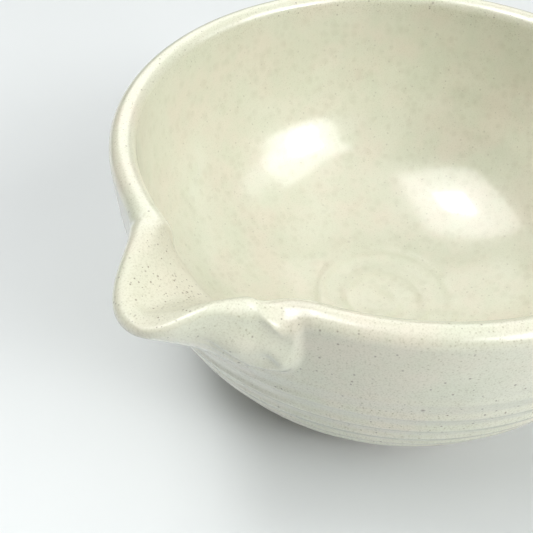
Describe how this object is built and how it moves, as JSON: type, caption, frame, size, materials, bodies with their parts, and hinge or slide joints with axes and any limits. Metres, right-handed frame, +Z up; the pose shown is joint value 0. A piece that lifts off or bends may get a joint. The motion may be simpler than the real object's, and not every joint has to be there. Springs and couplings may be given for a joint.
{
  "type": "mortar and pestle",
  "caption": "Hand-thrown stoneware mortar bowl with a pulled pouring spout, pale speckled satin glaze and a bare foot ring, with a lift-off stoneware pestle lying behind it.",
  "frame": {"origin": "centre of the foot ring on the surface that the mortar stands on", "axes": "+Z up, +X from the bowl's centre out through the pouring spout, the pestle lies along Y on the -X side"},
  "size_m": [0.2135, 0.15, 0.0765],
  "materials": {
    "fired_clay": "bare fired stoneware, matt, lightly gritty",
    "satin_glaze": "cream satin glaze with fine iron specks",
    "pestle_clay": "bare fired stoneware, ground smooth",
    "pestle_glaze": "cream satin glaze with fine iron specks"
  },
  "bodies": {
    "mortar": {"mortar_body": "fired_clay", "mortar_glaze": "satin_glaze", "foot_ring": "fired_clay"},
    "pestle": {"pestle_body": "pestle_clay", "pestle_glaze": "pestle_glaze"}
  },
  "joints": [
    {"name": "pestle_lift", "type": "slide", "parent": "mortar", "child": "pestle", "axis": [0, 0, 1], "range_m": [0, 0.12]}
  ]
}
